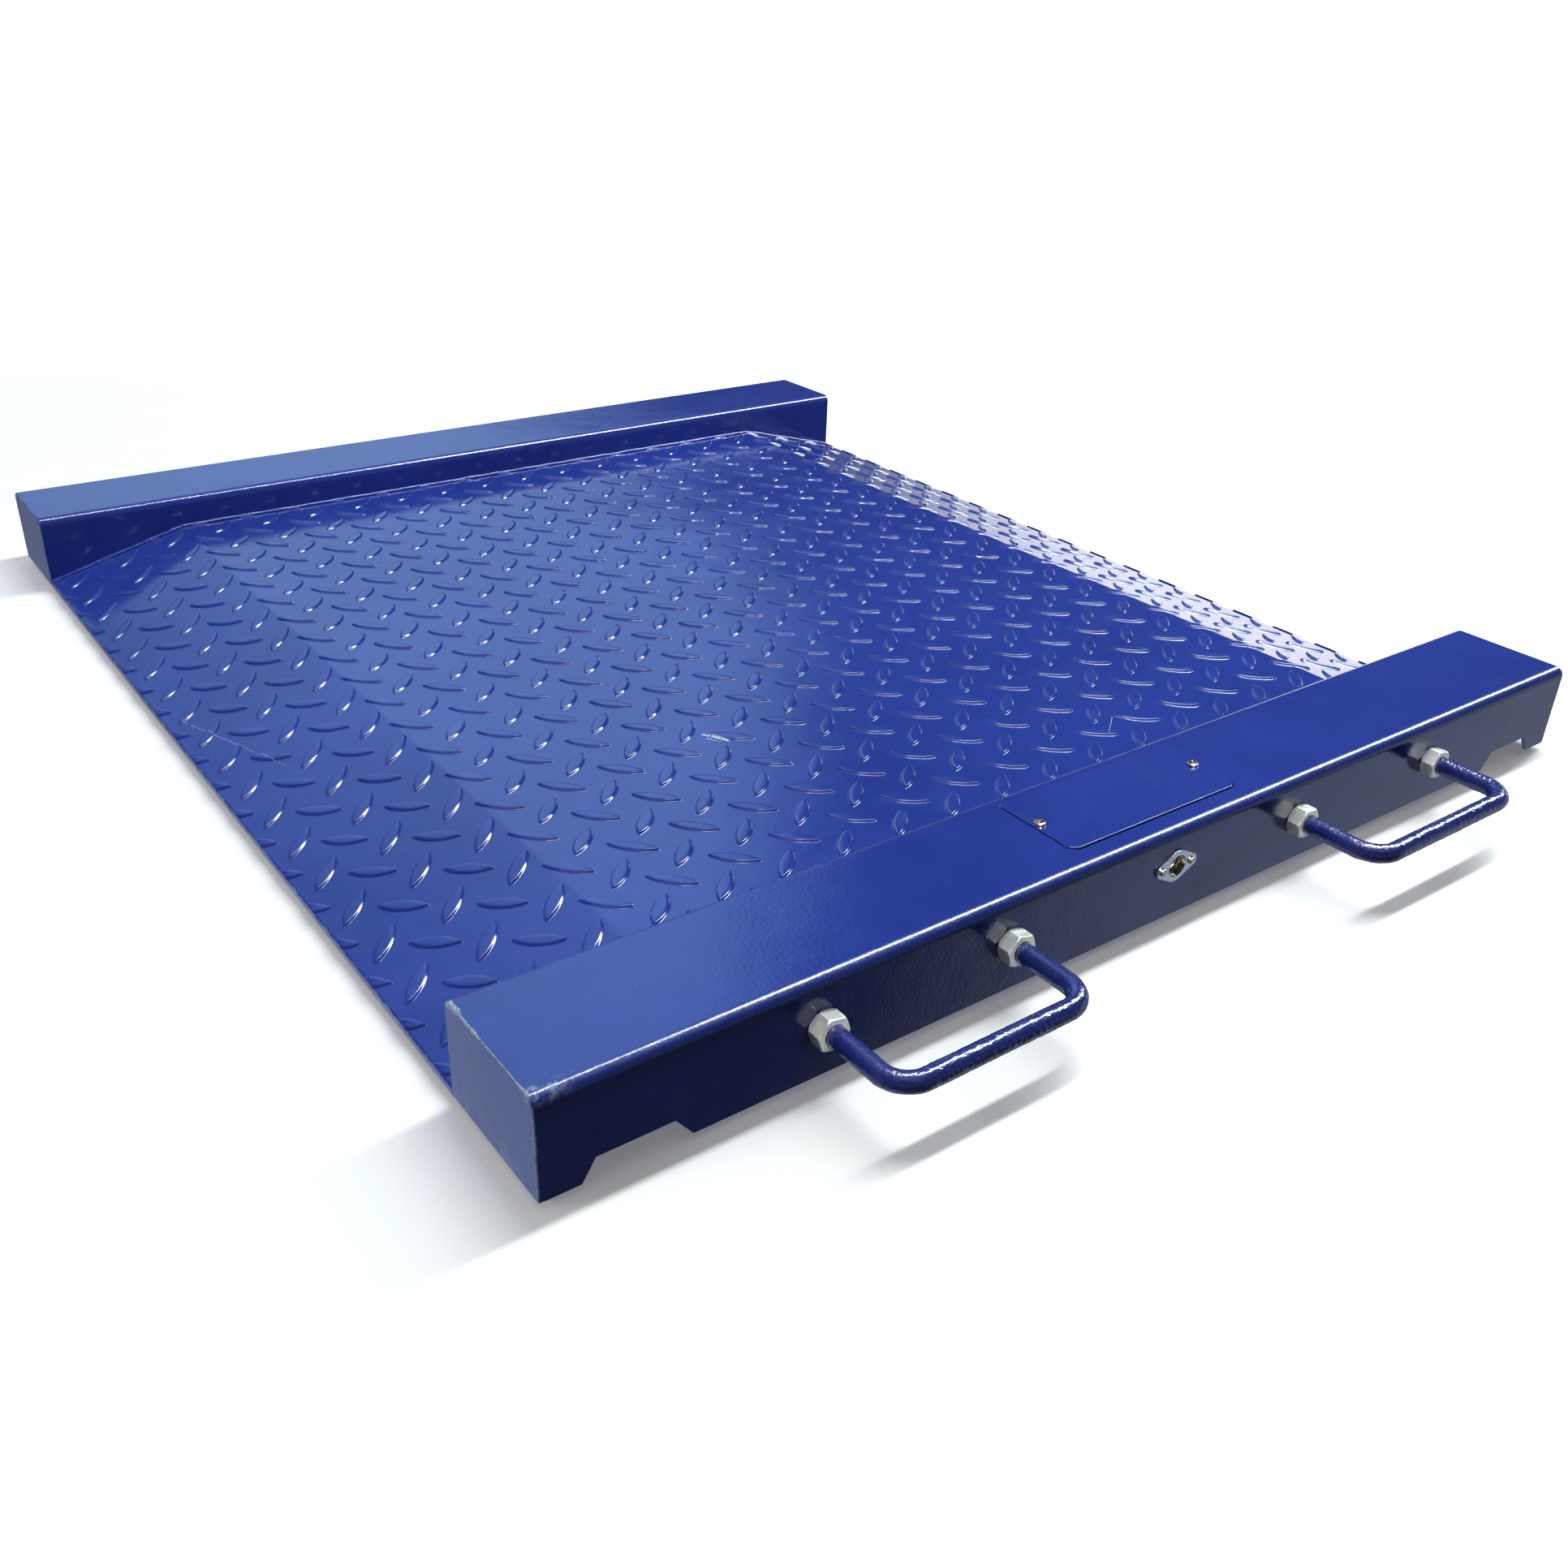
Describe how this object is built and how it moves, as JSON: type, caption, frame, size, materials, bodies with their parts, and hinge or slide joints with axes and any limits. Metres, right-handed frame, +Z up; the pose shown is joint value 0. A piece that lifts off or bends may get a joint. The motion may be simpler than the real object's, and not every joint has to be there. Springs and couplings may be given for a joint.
{
  "type": "pallet scale",
  "caption": "Low-profile floor scale: tread-plate deck with two ramps between hollow side beams, with load cells on levelling feet, bar handles and a cable socket.",
  "frame": {"origin": "middle of the bounding box at floor level, under the feet", "axes": "+X along the side beams, +Y from the handle side to the wheel side, +Z up"},
  "size_m": [1, 1.285, 0.0812],
  "materials": {
    "blue_enamel_beam": "gloss deep blue enamel with orange peel",
    "blue_enamel_deck": "gloss deep blue enamel with orange peel",
    "blue_enamel_underside": "gloss deep blue enamel with orange peel",
    "blue_enamel_bar": "gloss deep blue enamel with orange peel",
    "blue_enamel_cover": "gloss deep blue enamel with orange peel",
    "blue_enamel_bracket": "gloss deep blue enamel with orange peel",
    "blue_enamel_inner": "gloss deep blue enamel with orange peel",
    "zinc_plate": "bright zinc plate",
    "yellow_zinc": "yellow passivated zinc",
    "bright_nickel": "bright nickel",
    "black_moulding": "black moulding",
    "contact_brass": "tinned brass",
    "cable_jacket": "soft PVC",
    "cell_steel": "nickel plated steel",
    "tray_steel": "galvanised sheet",
    "board_green": "solder mask",
    "terminal_green": "moulded",
    "pot_blue": "moulded",
    "gasket_rubber": "sponge rubber",
    "foot_steel": "zinc plated, matt",
    "stud_steel": "zinc plated thread",
    "hub_nylon": "nylon",
    "wheel_rubber": "solid rubber"
  },
  "bodies": {
    "platform": {"board_standoffs": "contact_brass", "cable_conduit": "blue_enamel_underside", "cable_glands": "black_moulding", "cell_bolts": "zinc_plate", "cell_spacers": "blue_enamel_inner", "cover_gasket": "gasket_rubber", "cover_ledge": "blue_enamel_inner", "cross_members": "blue_enamel_underside", "deck_plate": "blue_enamel_deck", "end_plate_far_left": "blue_enamel_beam", "end_plate_far_right": "blue_enamel_beam", "end_plate_near_left": "blue_enamel_beam", "end_plate_near_right": "blue_enamel_beam", "far_beam": "blue_enamel_beam", "foot_lock_nuts": "zinc_plate", "handle_inner_nuts": "zinc_plate", "handle_left": "blue_enamel_bar", "handle_outer_nuts": "zinc_plate", "handle_right": "blue_enamel_bar", "handle_washers": "zinc_plate", "junction_board": "board_green", "junction_tray": "tray_steel", "load_cell_1": "cell_steel", "load_cell_2": "cell_steel", "load_cell_3": "cell_steel", "load_cell_4": "cell_steel", "load_cell_cable_1": "cable_jacket", "load_cell_cable_2": "cable_jacket", "load_cell_cable_3": "cable_jacket", "load_cell_cable_4": "cable_jacket", "near_beam": "blue_enamel_beam", "ramp_gussets": "blue_enamel_underside", "socket_cable": "cable_jacket", "socket_contacts": "contact_brass", "socket_insert": "black_moulding", "socket_screw_nuts": "bright_nickel", "socket_screws": "bright_nickel", "socket_shell": "bright_nickel", "terminal_blocks": "terminal_green", "trim_pots": "pot_blue", "wheel_axle_nuts": "zinc_plate", "wheel_axles": "zinc_plate", "wheel_brackets": "blue_enamel_bracket"},
    "foot_1": {"foot_base_1": "foot_steel"},
    "stud_1": {"foot_stud_1": "stud_steel"},
    "foot_2": {"foot_base_2": "foot_steel"},
    "stud_2": {"foot_stud_2": "stud_steel"},
    "foot_3": {"foot_base_3": "foot_steel"},
    "stud_3": {"foot_stud_3": "stud_steel"},
    "foot_4": {"foot_base_4": "foot_steel"},
    "stud_4": {"foot_stud_4": "stud_steel"},
    "wheel_left": {"wheel_hub_left": "hub_nylon", "wheel_tyre_left": "wheel_rubber"},
    "wheel_right": {"wheel_hub_right": "hub_nylon", "wheel_tyre_right": "wheel_rubber"},
    "cover": {"access_cover": "blue_enamel_cover", "cover_screws": "yellow_zinc"}
  },
  "joints": [
    {"name": "foot_1_travel", "type": "slide", "parent": "platform", "child": "foot_1", "axis": [0, 0, -1], "range_m": [-0.004, 0.006]},
    {"name": "stud_1_turn", "type": "hinge", "parent": "foot_1", "child": "stud_1", "pos_m": [-0.437, -0.5115, 0.03], "axis": [0, 0, -1], "range_deg": [-840, 1260]},
    {"name": "foot_2_travel", "type": "slide", "parent": "platform", "child": "foot_2", "axis": [0, 0, -1], "range_m": [-0.004, 0.006]},
    {"name": "stud_2_turn", "type": "hinge", "parent": "foot_2", "child": "stud_2", "pos_m": [0.437, -0.5115, 0.03], "axis": [0, 0, -1], "range_deg": [-840, 1260]},
    {"name": "foot_3_travel", "type": "slide", "parent": "platform", "child": "foot_3", "axis": [0, 0, -1], "range_m": [-0.004, 0.006]},
    {"name": "stud_3_turn", "type": "hinge", "parent": "foot_3", "child": "stud_3", "pos_m": [-0.437, 0.5345, 0.03], "axis": [0, 0, -1], "range_deg": [-840, 1260]},
    {"name": "foot_4_travel", "type": "slide", "parent": "platform", "child": "foot_4", "axis": [0, 0, -1], "range_m": [-0.004, 0.006]},
    {"name": "stud_4_turn", "type": "hinge", "parent": "foot_4", "child": "stud_4", "pos_m": [0.437, 0.5345, 0.03], "axis": [0, 0, -1], "range_deg": [-840, 1260]},
    {"name": "wheel_left_spin", "type": "hinge", "parent": "platform", "child": "wheel_left", "pos_m": [-0.36, 0.6175, 0.031], "axis": [1, 0, 0], "continuous": true},
    {"name": "wheel_right_spin", "type": "hinge", "parent": "platform", "child": "wheel_right", "pos_m": [0.36, 0.6175, 0.031], "axis": [1, 0, 0], "continuous": true},
    {"name": "cover_lift", "type": "slide", "parent": "platform", "child": "cover", "axis": [0, 0, 1], "range_m": [0, 0.06]}
  ],
  "couplings": [
    {"joint": "stud_1_turn", "follows": "foot_1_travel", "rad_per_m": 3590.4},
    {"joint": "stud_2_turn", "follows": "foot_2_travel", "rad_per_m": 3590.4},
    {"joint": "stud_3_turn", "follows": "foot_3_travel", "rad_per_m": 3590.4},
    {"joint": "stud_4_turn", "follows": "foot_4_travel", "rad_per_m": 3590.4}
  ]
}
